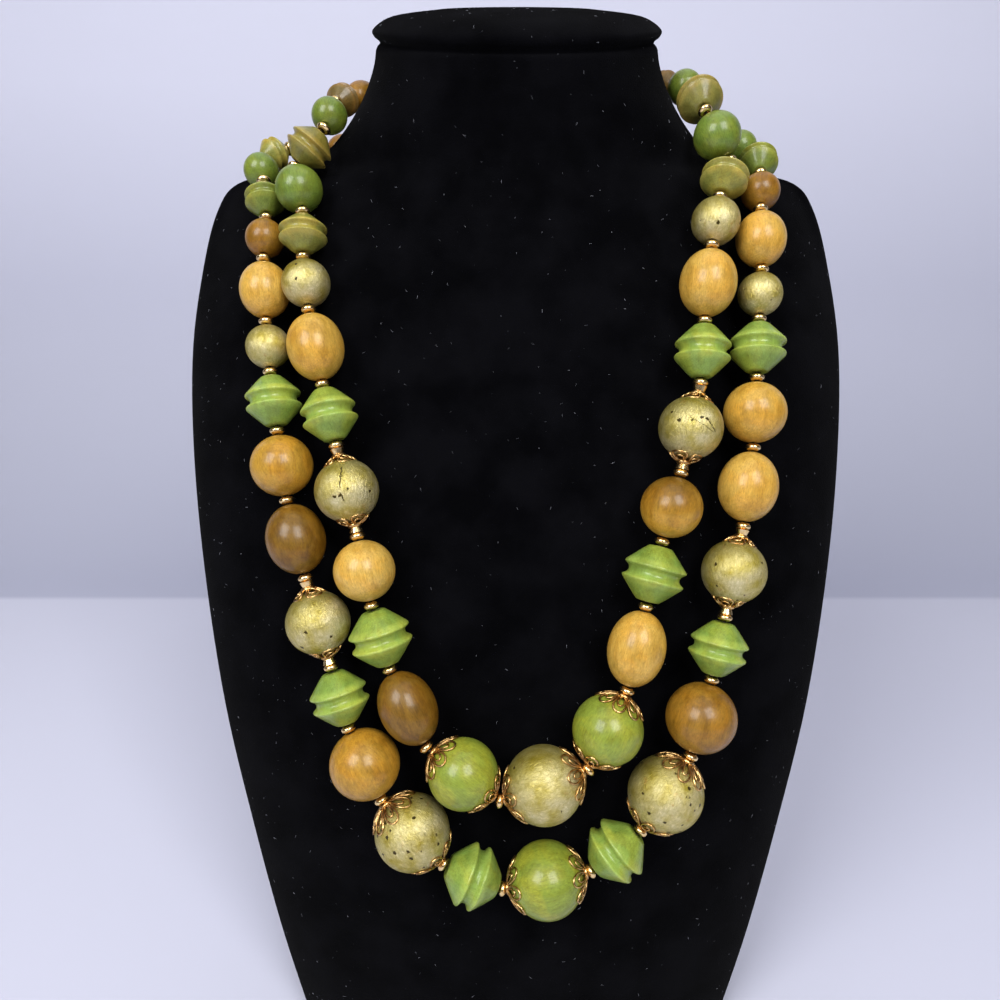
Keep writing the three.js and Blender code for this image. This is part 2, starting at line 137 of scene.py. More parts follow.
rng = np.random.default_rng(11)
MM = 0.001
print("nodes:", len(nodes), "box:", [[round(c, 4) for c in corner] for corner in cad_box])

# %% [markdown]
# ## Camera
# The picture looks down at the chest by 18 degrees from about a quarter of a metre, which is close:
# the lower beads look larger than the upper ones. A wide lens from that spot gives the same effect.

# %% Camera
LOOK_DOWN = 18

camera = bpy.data.objects.new("camera", bpy.data.cameras.new("camera"))
camera.location = (-0.0056, -0.24745, 0.2805)
camera.rotation_euler = (math.radians(90 - LOOK_DOWN), 0, 0)
camera.data.sensor_width = 36
camera.data.lens = 27.04
camera.data.clip_start = 0.01
bpy.context.scene.collection.objects.link(camera)
bpy.context.scene.camera = camera
print("camera at", [round(c, 4) for c in camera.location])

# %% [markdown]
# ## Light
# Two large windows light the beads: each bead shows one soft patch at its upper left and one at its
# upper right. An area light stands for each window. A third one overhead and a pale surrounding fill
# the shadows.

# %% Lights
def window_light(name, place, target, size, power):
    """A rectangular light that faces a point."""
    data = bpy.data.lights.new(name, "AREA")
    data.shape = "RECTANGLE"
    data.size, data.size_y = size
    data.energy = power
    light = bpy.data.objects.new(name, data)
    light.location = place
    light.rotation_euler = (Vector(target) - Vector(place)).to_track_quat("-Z", "Y").to_euler()
    bpy.context.scene.collection.objects.link(light)


chest = (0, -0.06, 0.2)
window_light("left_window", (-0.62, -0.75, 0.95), chest, (0.55, 0.7), 13)
window_light("right_window", (0.36, -0.85, 1.05), chest, (0.55, 0.7), 13.5)
window_light("ceiling", (0.0, 0.1, 1.7), chest, (1.6, 1.2), 6.5)

world = bpy.data.worlds.new("studio")
world.use_nodes = True
surrounding = world.node_tree.nodes["Background"].inputs
surrounding["Color"].default_value = (0.74, 0.75, 0.82, 1)
surrounding["Strength"].default_value = 0.08
bpy.context.scene.world = world
bpy.context.scene.view_settings.view_transform = "Standard"
print("lights:", [o.name for o in bpy.data.objects if o.type == "LIGHT"])

# %% [markdown]
# ## Node trees in code
# Both materials and Geometry Nodes are trees of nodes joined by links. One small helper builds
# either: it adds a node, sets its settings, and takes a number or another node's output as an input.

# %% Tree builder
class TreeBuilder:
    """Adds nodes to a tree, with each input given as a value or as another node's output."""

    def __init__(self, tree):
        self.tree = tree

    def add(self, kind, inputs=None, **settings):
        node = self.tree.nodes.new(kind)
        for key, value in settings.items():
            setattr(node, key, value)
        for key, value in (inputs or {}).items():
            if isinstance(value, bpy.types.NodeSocket):
                self.link(value, node, key)
            else:
                node.inputs[key].default_value = value
        return node

    def link(self, output, node, key):
        self.tree.links.new(output, node.inputs[key])

    def out(self, kind, inputs=None, **settings):
        """The first output of a new node."""
        node = self.add(kind, inputs, **settings)
        return node.outputs[0]

    def math(self, operation, *values):
        return self.out("ShaderNodeMath", dict(enumerate(values)), operation=operation)

    def times(self, first, second):
        return self.math("MULTIPLY", first, second)

    def plus(self, first, second):
        return self.math("ADD", first, second)

    def minus(self, first, second):
        return self.math("SUBTRACT", first, second)

    def over(self, first, second):
        return self.math("DIVIDE", first, second)

    def vector(self, x, y, z):
        return self.out("ShaderNodeCombineXYZ", {0: x, 1: y, 2: z})

    def split(self, vector):
        """The three parts of a vector."""
        return self.add("ShaderNodeSeparateXYZ", {0: vector}).outputs

    def spread(self, value, low, high):
        """A value stretched so that low becomes 0 and high becomes 1."""
        limits = {"From Min": low, "From Max": high}
        return self.out("ShaderNodeMapRange", {"Value": value, **limits})

    def ramp(self, factor, stops):
        """A colour ramp through rows of position and colour."""
        node = self.add("ShaderNodeValToRGB", {"Fac": factor})
        elements = node.color_ramp.elements
        while len(elements) < len(stops):
            elements.new(1)
        for element, (position, colour) in zip(elements, stops):
            element.position = position
            element.color = (*colour, 1)
        return node.outputs["Color"]

    def mix(self, factor, first, second, blend="MIX"):
        """A colour between two others."""
        colours = {"Factor": factor, 6: first, 7: second}
        return self.add("ShaderNodeMix", colours, data_type="RGBA", blend_type=blend).outputs[2]

    def noise(self, where, scale, detail=3.0, roughness=0.5, stretch=(1, 1, 1), distortion=0.0):
        """Noise on a coordinate, which a Mapping node stretches first."""
        place = self.out("ShaderNodeMapping", {"Vector": where, "Scale": stretch})
        values = {"Vector": place, "Scale": scale, "Detail": detail}
        values.update({"Roughness": roughness, "Distortion": distortion})
        return self.add("ShaderNodeTexNoise", values).outputs["Fac"]


def linear(channel):
    """One channel of a screen colour, 0 to 255, as the share of light that Blender works in."""
    return ((channel / 255 + 0.055) / 1.055) ** 2.4 if channel > 10 else channel / 255 / 12.92


def rgb(red, green, blue):
    """A screen colour as shares of light."""
    return linear(red), linear(green), linear(blue)


def new_material(name, **constants):
    """A material with its shader's constants set on the shader itself."""
    material = bpy.data.materials.new(name)
    material.use_nodes = True
    shader = material.node_tree.nodes["Principled BSDF"]
    for key, value in constants.items():
        shader.inputs[key.replace("_", " ")].default_value = value
    return material, TreeBuilder(material.node_tree), shader


def bump(build, shader, height, strength, distance):
    """Joins a height to a shader's normal."""
    relief = {"Height": height, "Strength": strength, "Distance": distance}
    build.link(build.out("ShaderNodeBump", relief), shader, "Normal")


print("helpers ready")

# %% [markdown]
# ## The room
# The bust stands on a pale table in front of a darker lavender wall, and the table's far edge shows
# at both sides. One mesh makes both: a strip that runs back, bends, and rises, painted by place. It
# isn't part of the object, so it is marked as stage.

# %% Floor and backdrop
def backdrop_mesh():
    """A sheet along the floor that bends up into a wall."""
    wall, radius, half, front, top = 0.62, 0.25, 3.0, -2.5, 3.0
    angles = np.linspace(0, math.pi / 2, 17)
    bend = [(wall - radius + radius * math.sin(a), radius - radius * math.cos(a)) for a in angles]
    line = [(front, 0.0), *bend, (wall, top)]
    verts = [(x, y, z) for y, z in line for x in (-half, half)]
    faces = [(2 * i, 2 * i + 1, 2 * i + 3, 2 * i + 2) for i in range(len(line) - 1)]
    mesh = bpy.data.meshes.new("backdrop")
    mesh.from_pydata(verts, [], faces)
    mesh.shade_smooth()
    return mesh


# How far back the table ends, over what depth it fades, and how high the wall's painted light grows paler.
TABLE_EDGE, EDGE_BLUR, PALE_HEIGHT = 0.338, 0.008, 0.45

paper, build, shader = new_material("lavender paper", Roughness=0.9)
where = build.add("ShaderNodeTexCoord").outputs["Object"]
place = build.split(where)
behind = build.spread(place[1], TABLE_EDGE, TABLE_EDGE + EDGE_BLUR)
height = build.spread(place[2], 0.0, PALE_HEIGHT)
# Painted light: the wall is darker at the floor and paler higher up.
wall = build.ramp(height, [(0.0, rgb(170, 172, 190)), (1.0, rgb(208, 209, 226))])
cloud = build.noise(where, 1.5, detail=2)
table = build.ramp(cloud, [(0.3, rgb(188, 189, 205)), (0.7, rgb(197, 198, 213))])
build.link(build.mix(behind, table, wall), shader, "Base Color")
backdrop = bpy.data.objects.new("backdrop", backdrop_mesh())
backdrop.data.materials.append(paper)
bpy.context.scene.collection.objects.link(backdrop)
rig.stage(backdrop)
print("backdrop faces:", len(backdrop.data.polygons))

# %% [markdown]
# ## Reading the CAD pieces
# Every bead was turned round its own hole, so its longest edges run along that hole. Their sum gives
# the bead's axis, and their middle gives its centre. A string is a skin over rings of points:
# starting from the flat end, each step outward to new neighbours finds the next ring.

# %% Measure beads and strings
# Edges longer than this share of the longest one run along a bead's hole.
HOLE_SHARE = 0.98
STRING_SIDES = 10
BUST_SIDES = 20


def merged(node):
    """A CAD node's points without doubles, and its edges."""
    mesh = nodes[node].data
    rounded = np.array([v.co for v in mesh.vertices], float).round(6)
    points, index = np.unique(rounded, axis=0, return_inverse=True)
    index = index.reshape(-1)
    edges = {tuple(sorted((index[a], index[b]))) for a, b in (e.vertices for e in mesh.edges)}
    return points, np.array([e for e in edges if e[0] != e[1]])


def bead_place(node):
    """Centre, axis, length and width of a drilled bead."""
    points, edges = merged(node)
    steps = points[edges[:, 1]] - points[edges[:, 0]]
    lengths = np.linalg.norm(steps, axis=1)
    hole = lengths > HOLE_SHARE * lengths.max()
    steps = steps[hole] * np.sign(steps[hole] @ steps[hole][0])[:, None]
    axis = steps.sum(axis=0)
    axis /= np.linalg.norm(axis)
    centre = (points[edges[hole, 0]] + points[edges[hole, 1]]).mean(axis=0) / 2
    along = (points - centre) @ axis
    out = np.linalg.norm(points - centre - along[:, None] * axis, axis=1)
    return {"centre": centre, "axis": axis, "length": 2 * along.max(), "width": 2 * out.max()}


def walk_rings(node, sides):
    """The rings of points of a skinned node, from one end to the other."""
    points, edges = merged(node)
    near = [[] for _ in points]
    for a, b in edges:
        near[a].append(b)
        near[b].append(a)
    ends = [i for i, found in enumerate(near) if len(found) == sides and
            all(len(set(near[j]) & set(found)) == 2 for j in found)]
    start = min(ends, key=lambda i: (abs(points[i][0]), points[i][2]))
    seen, ring, rings = {start}, sorted(near[start]), []
    while len(ring) == sides:
        seen.update(ring)
        rings.append(points[ring])
        ring = sorted({j for i in ring for j in near[i]} - seen)
    return rings


def string_rings(node):
    """Centre and radius of each ring of a string."""
    found = []
    for ring in walk_rings(node, STRING_SIDES):
        centre = ring.mean(axis=0)
        found.append((centre, np.linalg.norm(ring - centre, axis=1).mean()))
    return found


strings = {n: string_rings(n) for n in sorted(nodes) if n.endswith("_string")}
bead_nodes = [n for n in sorted(nodes) if n.endswith("_bead")]
places = {n: bead_place(n) for n in bead_nodes}
print("rings:", {n: len(r) for n, r in strings.items()})
print("beads measured:", len(places))

# %% [markdown]
# ## Geometry Nodes from Python
# A tree with named inputs works like a function: it is written once and called for each bead. The
# caller sets the inputs on a modifier, lets Blender evaluate it, and keeps the plain mesh.

# %% Geometry Nodes helpers
def new_shape(name, **sockets):
    """An empty Geometry Nodes tree, its builder and its inputs, a material among them."""
    tree = bpy.data.node_groups.new(name, "GeometryNodeTree")
    tree.is_modifier = True
    for label, kind in {**sockets, "Material": "Material"}.items():
        tree.interface.new_socket(label, in_out="INPUT", socket_type="NodeSocket" + kind)
    tree.interface.new_socket("Geometry", in_out="OUTPUT", socket_type="NodeSocketGeometry")
    build = TreeBuilder(tree)
    return tree, build, build.add("NodeGroupInput").outputs


def close_shape(build, geometry, given):
    """Ends a tree: instances become real, and the given material covers them."""
    real = build.out("GeometryNodeRealizeInstances", {"Geometry": geometry})
    painted = build.out("GeometryNodeSetMaterial", {"Geometry": real, "Material": given["Material"]})
    build.add("NodeGroupOutput", {0: painted})


def joined(build, *geometries):
    """Several geometries as one."""
    node = build.add("GeometryNodeJoinGeometry")
    for geometry in reversed(geometries):
        build.link(geometry, node, 0)
    return node.outputs[0]


def position(build):
    """The place of each point."""
    return build.out("GeometryNodeInputPosition")


def moved(build, geometry, place):
    """A geometry with each point at a new place."""
    return build.out("GeometryNodeSetPosition", {"Geometry": geometry, "Position": place})


def circle(build, sides, radius):
    """A closed ring of points."""
    return build.out("GeometryNodeCurvePrimitiveCircle", {"Resolution": sides, "Radius": radius})


def swept(build, curve, radius, sides=8, caps=False):
    """A round wire along a curve."""
    wire = {"Curve": curve, "Profile Curve": circle(build, sides, radius), "Fill Caps": caps}
    return build.out("GeometryNodeCurveToMesh", wire)


def repeated(build, points, shape, turn, **more):
    """One shape on each point, with its turn."""
    inputs = {"Points": points, "Instance": shape, "Rotation": turn, **more}
    return build.out("GeometryNodeInstanceOnPoints", inputs)


def run_shape(tree, mesh=None, **values):
    """The mesh that a tree makes from these inputs."""
    host = bpy.data.objects.new(tree.name, mesh or bpy.data.meshes.new(tree.name))
    bpy.context.scene.collection.objects.link(host)
    modifier = host.modifiers.new("shape", "NODES")
    modifier.node_group = tree
    for item in tree.interface.items_tree:
        if item.in_out == "INPUT" and item.name in values:
            modifier[item.identifier] = values[item.name]
    view = bpy.context.evaluated_depsgraph_get()
    made = bpy.data.meshes.new_from_object(host.evaluated_get(view), depsgraph=view)
    host.modifiers.clear()
    bpy.data.objects.remove(host)
    return made


def place_piece(name, mesh, slot, replaces=()):
    """A finished mesh as a piece of the object."""
    mesh.name = name
    piece = bpy.data.objects.new(name, mesh)
    bpy.context.scene.collection.objects.link(piece)
    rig.ride(piece, "root")
    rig.slot(piece, slot)
    if replaces:
        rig.replaces(piece, *replaces)


print("ready to shape")

# %% [markdown]
# ## The lathe
# A wooden bead is turned: a blank spins while a blade follows an outline. The tree does the same. It
# takes a flat grid, rolls it round an axis, and sets each row's distance from the axis by the
# outline. A second, narrow roll lines the hole. The round beads follow a circle. The double cones
# follow a drawn curve: a blunt end, a cone, a rounded lip, and a groove in the middle.

# %% Lathe trees
TURN = 2 * math.pi
CONE_OUTLINE = [
    (0, 0.05), (0.006, 0.3), (0.02, 0.375), (0.06, 0.46), (0.12, 0.575), (0.2, 0.72), (0.28, 0.86),
    (0.332, 0.95), (0.358, 0.99), (0.374, 1), (0.39, 0.99), (0.405, 0.955), (0.425, 0.9),
    (0.45, 0.855), (0.475, 0.835), (0.5, 0.83),
]
WELD = 2e-6


def rolled(build, sides, rows, radius_and_height):
    """A grid rolled round the z axis."""
    counts = {"Vertices X": build.plus(sides, 1), "Vertices Y": rows}
    grid = build.out("GeometryNodeMeshGrid", {"Size X": 1.0, "Size Y": 1.0, **counts})
    flat = build.split(position(build))
    angle = build.times(flat[0], TURN)
    radius, height = radius_and_height(flat[1])
    x = build.times(radius, build.math("COSINE", angle))
    y = build.times(radius, build.math("SINE", angle))
    return moved(build, grid, build.vector(x, y, height))


def lathe_tree(name, outline):
    """A tree that turns one drilled bead."""
    tree, build, given = new_shape(
        name, Width="Float", Length="Float", Hole="Float", Sides="Int", Rows="Int", Shift="Vector")
    downward = build.times(given["Length"], -1)
    skin = rolled(build, given["Sides"], given["Rows"], lambda share: outline(build, given, share))
    bore = rolled(build, given["Sides"], 2, lambda share: (given["Hole"], build.times(share, downward)))
    smooth = build.out("GeometryNodeSetShadeSmooth", {0: skin, "Shade Smooth": True})
    flat = build.out("GeometryNodeSetShadeSmooth", {0: bore, "Shade Smooth": False})
    open_bead = {"Geometry": joined(build, smooth, flat), "Distance": WELD}
    closed = build.out("GeometryNodeMergeByDistance", open_bead)
    metres = {0: position(build), "Scale": 1 / MM}
    millimetres = build.out("ShaderNodeVectorMath", metres, operation="SCALE")
    both = {0: millimetres, 1: given["Shift"]}
    shifted = build.out("ShaderNodeVectorMath", both, operation="ADD")
    kept = {"Geometry": closed, "Name": "turned", "Value": shifted}
    stored = build.out("GeometryNodeStoreNamedAttribute", kept, data_type="FLOAT_VECTOR", domain="POINT")
    close_shape(build, stored, given)
    return tree


def ball_outline(build, given, share):
    """Radius and height on a ball or an oval that ends at its hole."""
    half = build.times(given["Width"], 0.5)
    limit = build.math("ARCCOSINE", build.over(given["Hole"], half))
    angle = build.times(build.times(share, 2), limit)
    tall = build.over(build.times(given["Length"], 0.5), build.math("SINE", limit))
    return build.times(half, build.math("COSINE", angle)), build.times(tall, build.math("SINE", angle))


def cone_outline(build, given, share):
    """Radius and height on a double cone, by the drawn curve."""
    node = build.add("ShaderNodeFloatCurve", {"Value": build.plus(share, 0.5)})
    points = CONE_OUTLINE + [(1 - u, r) for u, r in CONE_OUTLINE[-2::-1]]
    curve = node.mapping.curves[0]
    for u, r in points[1:-1]:
        curve.points.new(u, r)
    for point, place in zip(curve.points, points):
        point.location = place
    node.mapping.update()
    half = build.times(given["Width"], 0.5)
    radius = build.math("MAXIMUM", given["Hole"], build.times(half, node.outputs[0]))
    return radius, build.times(share, given["Length"])


ball_tree = lathe_tree("Turned round bead", ball_outline)
cone_tree = lathe_tree("Turned double cone", cone_outline)
print("lathe trees:", ball_tree.name, cone_tree.name)

# %% [markdown]
# ## Stained wood
# The wood is stained, polished and lacquered, so its grain shows through a clear coat. Fine fibres
# run along the hole, because beads are turned from rods that are cut along the grain. Each bead
# carries its own colour number and its own place in the noise, so one material serves them all and
# no two beads match.

# %% Wood materials
def attribute(build, name):
    """A value that each piece carries in its mesh."""
    return build.add("ShaderNodeAttribute", attribute_name=name).outputs


def layered(build, tone, layers):
    """A colour under layers, each a mask, its greatest share and its three factors on the colour."""
    for mask, share, factors in layers:
        changed = build.mix(1.0, tone, (*factors, 1), blend="MULTIPLY")
        tone = build.mix(build.times(mask, share), tone, changed)
    return tone


def wood_material(name, stops, by, roughness, coat, warm):
    """Stained and lacquered wood, its colour chosen by a value that each bead carries."""
    material, build, shader = new_material(
        name, Roughness=roughness, Coat_Weight=coat, Coat_Roughness=0.18, Specular_IOR_Level=0.25)
    where = attribute(build, "turned")["Vector"]
    cloud = build.noise(where, 0.13, detail=2, distortion=0.6)
    shade = build.noise(where, 0.2, detail=3, roughness=0.6, stretch=(1.3, 1.3, 0.6))
    fibre = build.noise(where, 0.62, detail=5, roughness=0.78, stretch=(2.0, 2.0, 0.25))
    pores = build.noise(where, 1.5, detail=3, roughness=0.7, stretch=(1.5, 1.5, 0.6))
    streak = build.noise(where, 0.3, detail=4, roughness=0.6, stretch=(2.2, 2.2, 0.14), distortion=0.3)
    wave = {"Vector": where, "Scale": 0.55, "Distortion": 5.0, "Detail": 3.0, "Detail Scale": 0.5}
    rings = build.add("ShaderNodeTexWave", wave, wave_type="RINGS", rings_direction="Z").outputs["Fac"]
    patchy = build.math("MULTIPLY_ADD", attribute(build, "stain")["Fac"], 0.4, 0.55)
    # Paler, speckled lips on double cones: partly wear, partly painted highlight.
    lip_wear_and_highlight = build.times(attribute(build, "rim")["Fac"], build.spread(pores, 0.3, 0.6))
    tone = layered(build, build.ramp(attribute(build, by)["Fac"], stops), [
        (build.spread(cloud, 0.42, 0.62), 0.85, warm),
        (build.spread(shade, 0.46, 0.64), patchy, (0.64, 0.6, 0.42)),
        (build.spread(fibre, 0.4, 0.6), 0.6, (0.76, 0.73, 0.55)),
        (rings, 0.22, (0.72, 0.72, 0.6)),
        (build.spread(streak, 0.56, 0.64), 0.4, (0.74, 0.66, 0.48)),
        (build.spread(pores, 0.54, 0.64), 0.5, (0.55, 0.55, 0.45)),
        (build.spread(pores, 0.44, 0.36), 0.35, (1.5, 1.42, 1.1)),
        (lip_wear_and_highlight, 0.8, (2.0, 1.7, 1.9)),
    ])
    build.link(tone, shader, "Base Color")
    limits = {"From Min": 0.3, "From Max": 0.7, "To Min": roughness - 0.07, "To Max": roughness + 0.1}
    build.link(build.out("ShaderNodeMapRange", {"Value": fibre, **limits}), shader, "Roughness")
    bump(build, shader, build.plus(fibre, build.times(pores, 0.5)), 0.2, 0.0003)
    return material


GREENS = [
    (0.0, rgb(132, 148, 56)), (0.2, rgb(124, 152, 68)), (0.55, rgb(100, 122, 46)),
    (0.75, rgb(132, 134, 64)), (1.0, rgb(104, 88, 46)),
]
BROWNS = [
    (0.0, rgb(210, 174, 92)), (0.4, rgb(190, 147, 56)), (0.8, rgb(144, 106, 36)),
    (1.0, rgb(112, 82, 24)),
]
green_wood = wood_material("green stained wood", GREENS, "tint", 0.42, 0.42, (1.35, 1.12, 0.85))
stained_wood = wood_material("honey and brown stained wood", BROWNS, "stain", 0.38, 0.3, (1.06, 0.94, 0.7))
print("wood:", green_wood.name, "and", stained_wood.name)

# %% [markdown]
# ## Pearl lacquer
# These wooden beads wear a thin coat of cream metallic lacquer, brushed all over and flecked with
# painted glints. Painted shade turns their side that faces up and left olive. Age has pitted the
# lacquer and cracked it down to the wood. The cracks follow fixed lines on the bead's front. The pits
# are scattered cells, most of them off.

# %% Pearl materials
METAL = 0.7


def pearl_material(name, pit_share, cracks=()):
    """Metallic lacquer. A crack is a row of its side place, its lean and its ends along the hole."""
    material, build, shader = new_material(
        name, Metallic=METAL, Roughness=0.4, Coat_Weight=0.16, Coat_Roughness=0.24,
        Specular_Tint=(0.5, 0.46, 0.1, 1))
    where = attribute(build, "turned")["Vector"]
    cloud = build.noise(where, 0.2, detail=3)
    flakes = build.noise(where, 1.5, detail=5, roughness=0.75, stretch=(1.0, 1.0, 0.45), distortion=0.7)
    creams = [(0.3, rgb(170, 154, 66)), (0.46, rgb(192, 178, 114)), (0.7, rgb(208, 197, 152))]
    faces = build.split(build.add("ShaderNodeNewGeometry").outputs["Normal"])
    # Painted shade: faces that turn up and to the left are darkened toward olive.
    painted_shade_side = build.math("MULTIPLY_ADD", faces[0], -0.45, build.times(faces[2], 0.85))
    tone = layered(build, build.ramp(cloud, creams), [
        (build.spread(flakes, 0.5, 0.62), 0.6, (0.68, 0.66, 0.46)),
        # Painted glints: paler, bluer flecks where the flake noise is low; the darker flakes above are the lacquer's
        # own tone.
        (build.spread(flakes, 0.46, 0.36), 0.7, (1.42, 1.42, 1.6)),
        (build.spread(painted_shade_side, 0.15, 0.95), 0.8, (0.66, 0.64, 0.3)),
    ])
    stains = build.spread(build.noise(where, 0.33, detail=5, roughness=0.65), 0.61, 0.72)
    tone = build.mix(build.times(stains, 0.55), tone, (*rgb(176, 130, 70), 1))

    # Pits: each cell draws a chance, and those under the share stay as a ragged spot.
    cells = build.add("ShaderNodeTexVoronoi", {"Vector": where, "Scale": 0.42, "Randomness": 1.0}).outputs
    chance = build.out("ShaderNodeSeparateColor", {0: cells["Color"]})
    kept = build.math("LESS_THAN", chance, pit_share)
    ragged = build.plus(cells["Distance"], build.times(build.noise(where, 1.5, detail=3), 0.5))
    marks = build.times(build.spread(ragged, 0.49, 0.43), kept)

    # Cracks: a leaning line that wanders, cut off at its ends and kept to the front.
    spot = build.split(where)
    wander = build.times(build.minus(build.noise(where, 0.9, detail=4, roughness=0.7), 0.5), 2.2)
    for side, lean, low, high in cracks:
        line = build.plus(build.math("MULTIPLY_ADD", spot[2], -lean, spot[1]), build.minus(wander, side))
        thin = build.spread(build.math("ABSOLUTE", line), 0.2, 0.09)
        above, below = build.math("GREATER_THAN", spot[2], low), build.math("LESS_THAN", spot[2], high)
        front = build.times(build.times(above, below), build.math("GREATER_THAN", spot[0], 0.0))
        marks = build.math("MAXIMUM", marks, build.times(thin, front))

    build.link(build.mix(marks, tone, (*rgb(52, 40, 16), 1)), shader, "Base Color")
    build.link(build.times(build.minus(1.0, marks), METAL), shader, "Metallic")
    relief = build.minus(build.times(flakes, 0.5), build.times(marks, 1.4))
    bump(build, shader, relief, 0.95, 0.0006)
    return material


pearl = pearl_material("pearl lacquer", 0.09)
pitted_pearl = pearl_material("pitted pearl lacquer", 0.38)
split_pearl = pearl_material("split pearl lacquer", 0.08, [(-0.8, 0.25, -6.4, -0.3), (-0.6, -0.1, 1.0, 3.6)])
creased_pearl = pearl_material("creased pearl lacquer", 0.1, [(0.0, -3.0, -1.4, 1.2), (3.6, -1.2, -1.0, 1.6)])
print("pearl materials:", [m.name for m in (pearl, pitted_pearl, split_pearl, creased_pearl)])

# %% [markdown]
# ## Metal, thread and velvet
# The spacers are bright gold plate. The caps are older and rosier, bright on their edges and dull
# between. Velvet takes in almost all light, so its colour is close to black, with a faint sheen.

# %% Metal, thread and velvet materials
def mottled_material(name, scale, detail, stops, relief=None, **constants):
    """A blotched colour; relief is the scale, detail, strength and distance of its bumps."""
    material, build, shader = new_material(name, **constants)
    where = build.add("ShaderNodeTexCoord").outputs["Object"]
    build.link(build.ramp(build.noise(where, scale, detail=detail), stops), shader, "Base Color")
    if relief:
        bump_scale, bump_detail, strength, distance = relief
        bump(build, shader, build.noise(where, bump_scale, detail=bump_detail), strength, distance)
    return material


gold = mottled_material(
    "polished gold plate", 900, 2, [(0.3, rgb(236, 196, 128)), (0.7, rgb(252, 226, 170))],
    (1500, 2, 0.08, 0.0001), Metallic=1.0, Roughness=0.24)
antique = mottled_material(
    "antique rose gold", 700, 3, [(0.35, rgb(156, 112, 60)), (0.6, rgb(230, 192, 130))],
    (2500, 3, 0.15, 0.0001), Metallic=1.0, Roughness=0.3)
cord = mottled_material(
    "dark thread", 3000, 3, [(0.3, rgb(30, 24, 18)), (0.7, rgb(70, 58, 40))], Roughness=0.8)
velvet = mottled_material(
    "black velvet", 60, 3, [(0.35, (0.0012, 0.0012, 0.0016)), (0.65, (0.0026, 0.0026, 0.0034))],
    (2200, 2, 0.5, 0.0004), Roughness=1.0, Specular_IOR_Level=0.0, Sheen_Weight=0.017, Sheen_Roughness=0.5)
fluff = mottled_material(
    "pale lint", 400, 3, [(0.35, rgb(76, 78, 86)), (0.65, rgb(160, 162, 172))], Roughness=0.9)
print("materials:", sorted(m.name for m in bpy.data.materials))

# %% [markdown]
# ## The main beads
# Thirty-four beads carry the design. Each is turned by its tree at the size that its CAD solid
# measures, given its colour, and laid along its own hole.

# %% Main beads
COLOURS = {
    "inner_centre": "pearl",
    "outer_centre": "green",
    "inner_left": "green brown green honey pearl green honey pearl",
    "inner_right": "green honey green brown pearl green honey pearl",
    "outer_left": "green pearl brown green pearl brown honey green",
    "outer_right": "green pearl brown green pearl honey honey green",
}
# Each colour's material and slot, and its stain from 0, pale honey, to 1, dark brown.
PAINT = {
    "pearl": (pearl, "pearl_bead", 0),
    "green": (green_wood, "green_bead", 0),
    "honey": (stained_wood, "honey_bead", 0.2),
    "brown": (stained_wood, "brown_bead", 0.8),
}
SPECIAL = {"inner_left_5_bead": split_pearl, "inner_right_5_bead": creased_pearl}
for spot in ("outer_left_2", "outer_right_2", "inner_left_8", "inner_right_8"):
    SPECIAL[spot + "_bead"] = pitted_pearl
STAIN_OF = {
    "inner_left_2_bead": 0.95, "outer_left_6_bead": 0.95, "outer_left_3_bead": 0.54,
    "outer_right_3_bead": 0.78, "outer_left_7_bead": 0.5, "outer_right_7_bead": 0.28,
    "inner_left_4_bead": 0.12, "inner_left_7_bead": 0.27,
}
CONE_TINT = 0.2
HOLE = 1.1 * MM
SMALL_BEAD = 16.5 * MM
# A double cone's solid has this many points.
CONE_POINTS = 70
# A round bead's outline has this many steps in its solid.
ROUND_STEPS = 5
# How far, in mm, a bead's grain may be shifted in the noise.
GRAIN_SHIFT = 40
# A double cone's lips are paler from this share of its radius on, and fully a little farther out: partly wear, partly
# painted highlight.
LIP_FROM, LIP_SPAN = 0.8, 0.12


def full_width(measured, steps):
    """Width of a round bead whose solid has flats in place of its equator."""
    width = measured
    # Six rounds bring the width to rest.
    for _ in range(6):
        width = measured / math.cos(math.acos(2 * HOLE / width) / steps)
    return width


def standing(centre, axis, side=None):
    """The matrix that lays a shape's z axis along an axis at a centre."""
    up = Vector(axis).normalized()
    across = Vector(side) if side is not None else Vector((0, -1, 0)) + 0.01 * up.orthogonal()
    across = (across - across.dot(up) * up).normalized()
    turn = Matrix((across, up.cross(across), up)).transposed().to_4x4()
    return Matrix.Translation(Vector(centre)) @ turn


def carry(mesh, **values):
    """Stores values on a mesh for its material."""
    for name, value in values.items():
        layer = mesh.attributes.new(name, "FLOAT", "POINT")
        layer.data.foreach_set("value", np.broadcast_to(np.asarray(value, "f"), len(mesh.vertices)).copy())


def turn_bead(form, width, length, material):
    """One turned bead, its middle on the origin."""
    fixed = material in (split_pearl, creased_pearl)
    shift = [0.0, 0.0, 0.0] if fixed else [float(v) for v in rng.uniform(-GRAIN_SHIFT, GRAIN_SHIFT, 3)]
    if form == "bicone":
        tree, sides, rows = cone_tree, 48, 77
    else:
        tree, sides, rows = (ball_tree, 48, 33) if width < SMALL_BEAD else (ball_tree, 64, 41)
    bead = run_shape(tree, Width=float(width), Length=float(length), Hole=HOLE, Sides=sides, Rows=rows,
                     Shift=shift, Material=material)
    out = np.array([math.hypot(v.co.x, v.co.y) for v in bead.vertices]) * 2 / width
    # The rim value pales the lips, partly as wear and partly as painted highlight.
    carry(bead, rim=np.clip((out - LIP_FROM) / LIP_SPAN, 0, 1) if form == "bicone" else 0)
    return bead


def colour_of(node):
    """The colour word of a main bead."""
    strand, side, *rest = node.split("_")
    words = COLOURS[strand + "_" + side].split()
    return words[int(rest[0]) - 1] if side != "centre" else words[0]


